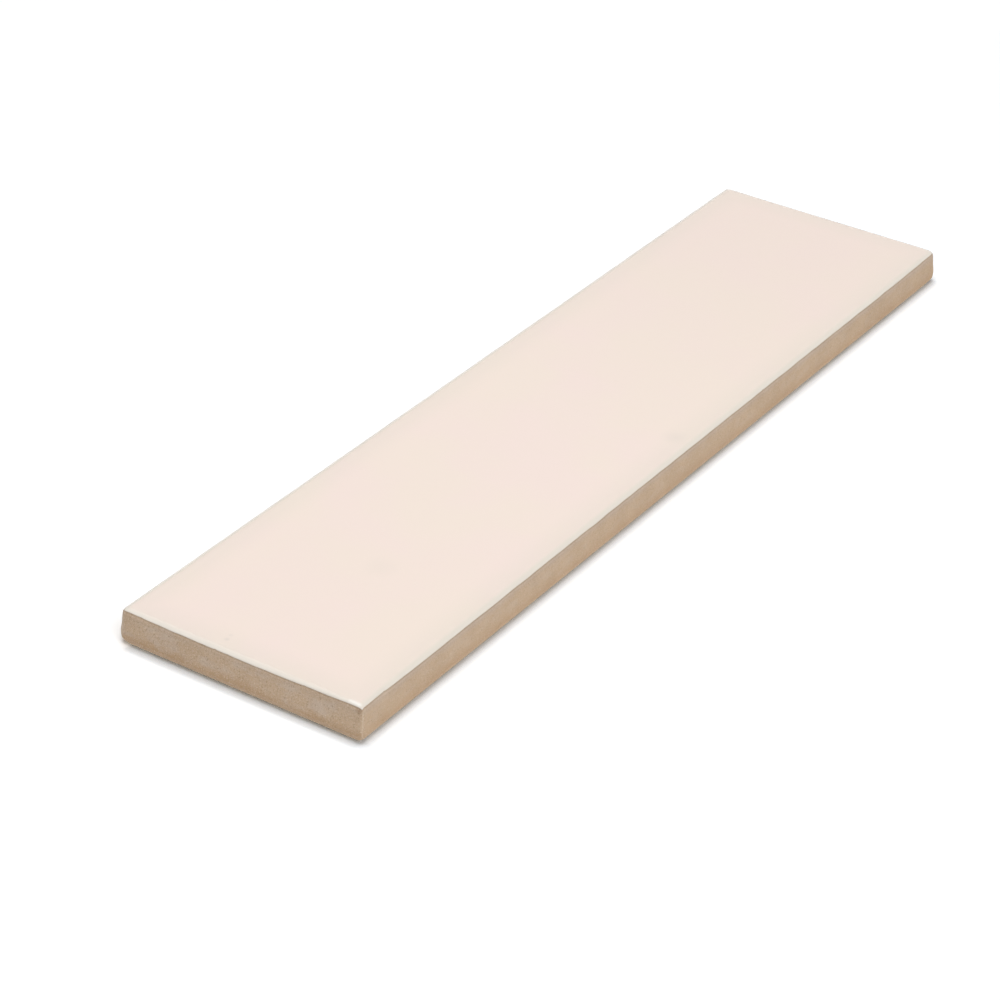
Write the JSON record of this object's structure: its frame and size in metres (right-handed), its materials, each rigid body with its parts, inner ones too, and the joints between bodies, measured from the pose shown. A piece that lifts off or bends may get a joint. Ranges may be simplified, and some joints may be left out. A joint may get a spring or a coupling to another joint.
{
  "type": "subway tile",
  "caption": "Long rectangular glazed ceramic wall tile with a gloss ivory face, a cushion edge, bare tan sides and a keyed back that beds in adhesive.",
  "frame": {"origin": "centre of the back, on the plane of its ribs, which is the floor when the tile lies glazed face up", "axes": "+X along the length, +Y across the width, +Z out of the glazed face"},
  "size_m": [0.3, 0.075, 0.0102],
  "materials": {
    "glazed_body": "gloss"
  },
  "bodies": {
    "root": {"tile": "glazed_body"}
  },
  "joints": []
}
